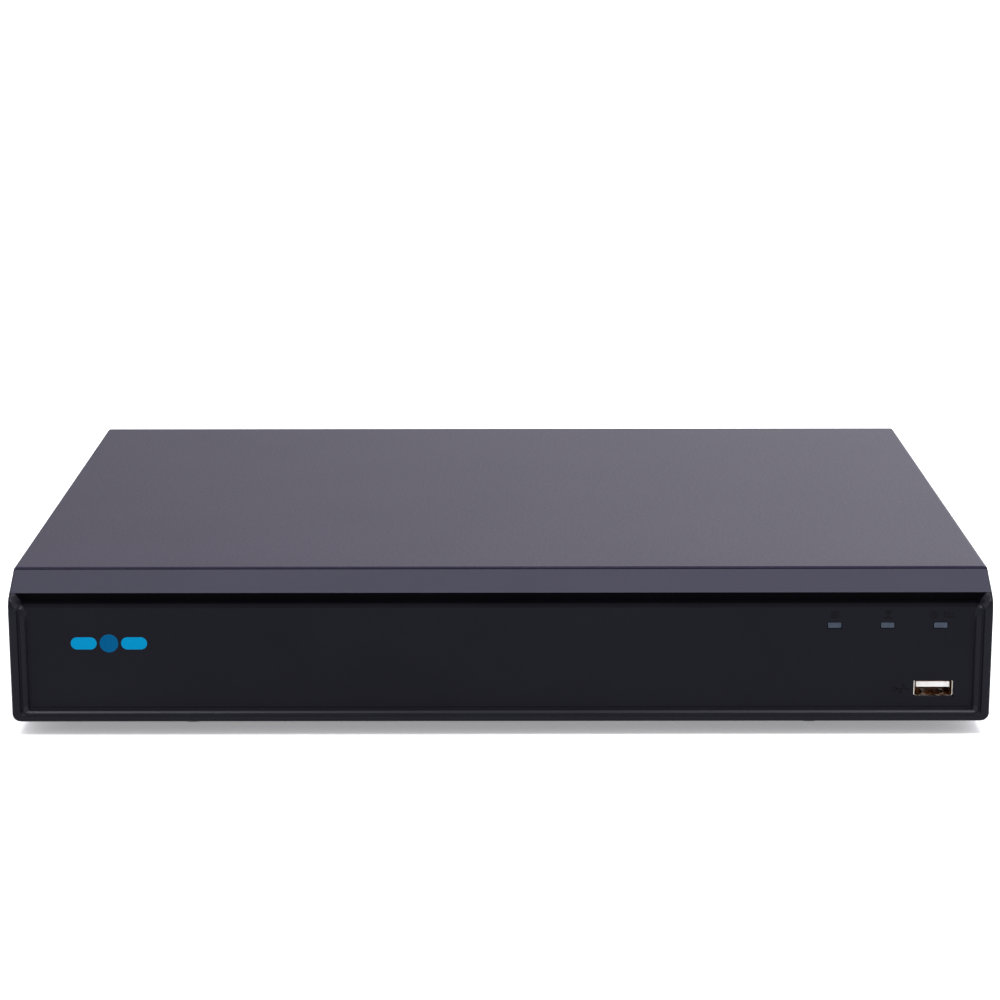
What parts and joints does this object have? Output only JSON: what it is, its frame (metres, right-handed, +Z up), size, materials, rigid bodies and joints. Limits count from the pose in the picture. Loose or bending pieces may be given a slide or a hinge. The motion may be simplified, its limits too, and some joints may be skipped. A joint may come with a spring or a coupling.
{
  "type": "video recorder",
  "caption": "Compact video recorder: folded steel case with a sloped plastic front, rear video jacks, sockets and rocker switch, disk drive and circuit boards inside, rubber feet.",
  "frame": {"origin": "on the resting surface, under the middle of the recorder (feet at z = 0)", "axes": "+Z up, +Y towards the rear panel, +X to the right when facing the front"},
  "size_m": [0.325, 0.258, 0.055],
  "materials": {
    "cover_paint": "black powder coat, fine texture",
    "bezel_plastic": "black moulded, satin",
    "light_guide": "frosted light guide",
    "circuit_board": "green solder mask",
    "nickel_plate": "nickel plate",
    "white_plastic": "moulded",
    "black_plastic": "moulded",
    "red_plastic": "moulded",
    "blue_plastic": "moulded",
    "green_plastic": "moulded",
    "black_aluminium": "black anodised",
    "cast_aluminium": "die cast",
    "polished_disk": "polished",
    "plated_steel": "zinc plated",
    "foot_rubber": "moulded"
  },
  "bodies": {
    "case": {"audio_in_jack": "white_plastic", "audio_jack_block": "black_plastic", "audio_out_jack": "red_plastic", "bnc_housing": "black_plastic", "bnc_jack_1": "nickel_plate", "bnc_jack_2": "nickel_plate", "bnc_jack_3": "nickel_plate", "bnc_jack_4": "nickel_plate", "bnc_jack_5": "nickel_plate", "bnc_jack_6": "nickel_plate", "bnc_jack_7": "nickel_plate", "bnc_jack_8": "nickel_plate", "bottom_tray": "cover_paint", "buzzer": "black_plastic", "coin_cell": "nickel_plate", "cover_screw_left_front": "plated_steel", "cover_screw_left_rear": "plated_steel", "cover_screw_right_front": "plated_steel", "cover_screw_right_rear": "plated_steel", "dc_jack": "black_plastic", "foot_front_left": "foot_rubber", "foot_front_right": "foot_rubber", "foot_rear_left": "foot_rubber", "foot_rear_right": "foot_rubber", "front_bezel": "bezel_plastic", "front_board": "circuit_board", "front_bracket": "cover_paint", "front_ribbon_cable": "white_plastic", "front_usb_shell": "nickel_plate", "front_usb_tongue": "white_plastic", "ground_screw": "plated_steel", "hdd_base": "cast_aluminium", "hdd_board": "circuit_board", "hdd_lid": "plated_steel", "hdmi_shell": "nickel_plate", "hdmi_tongue": "black_plastic", "heatsink": "black_aluminium", "light_guide_1": "light_guide", "light_guide_2": "light_guide", "light_guide_3": "light_guide", "main_board": "circuit_board", "network_jack": "nickel_plate", "processor_chip": "black_plastic", "rear_panel": "cover_paint", "rear_screw_left": "plated_steel", "rear_screw_right": "plated_steel", "rear_usb_shell": "nickel_plate", "rear_usb_tongue": "black_plastic", "sata_data_cable": "red_plastic", "sata_power_cable": "black_plastic", "switch_frame": "black_plastic", "terminal_block": "green_plastic", "top_cover": "cover_paint", "vga_insulator": "blue_plastic", "vga_jackscrew_left": "nickel_plate", "vga_jackscrew_right": "nickel_plate", "vga_shell": "nickel_plate"},
    "rocker": {"power_rocker": "black_plastic"},
    "platter": {"hdd_platter": "polished_disk"},
    "head_arm": {"hdd_actuator": "cast_aluminium"}
  },
  "joints": [
    {"name": "rocker_tilt", "type": "hinge", "parent": "case", "child": "rocker", "pos_m": [-0.118, 0.1051, 0.0275], "axis": [1, 0, 0], "range_deg": [0, 20]},
    {"name": "platter_spin", "type": "hinge", "parent": "case", "child": "platter", "pos_m": [-0.101, -0.0542, 0.0276], "axis": [0, 0, 1], "continuous": true},
    {"name": "head_swing", "type": "hinge", "parent": "case", "child": "head_arm", "pos_m": [-0.047, -0.065, 0.0297], "axis": [0, 0, 1], "range_deg": [0, 32]}
  ]
}
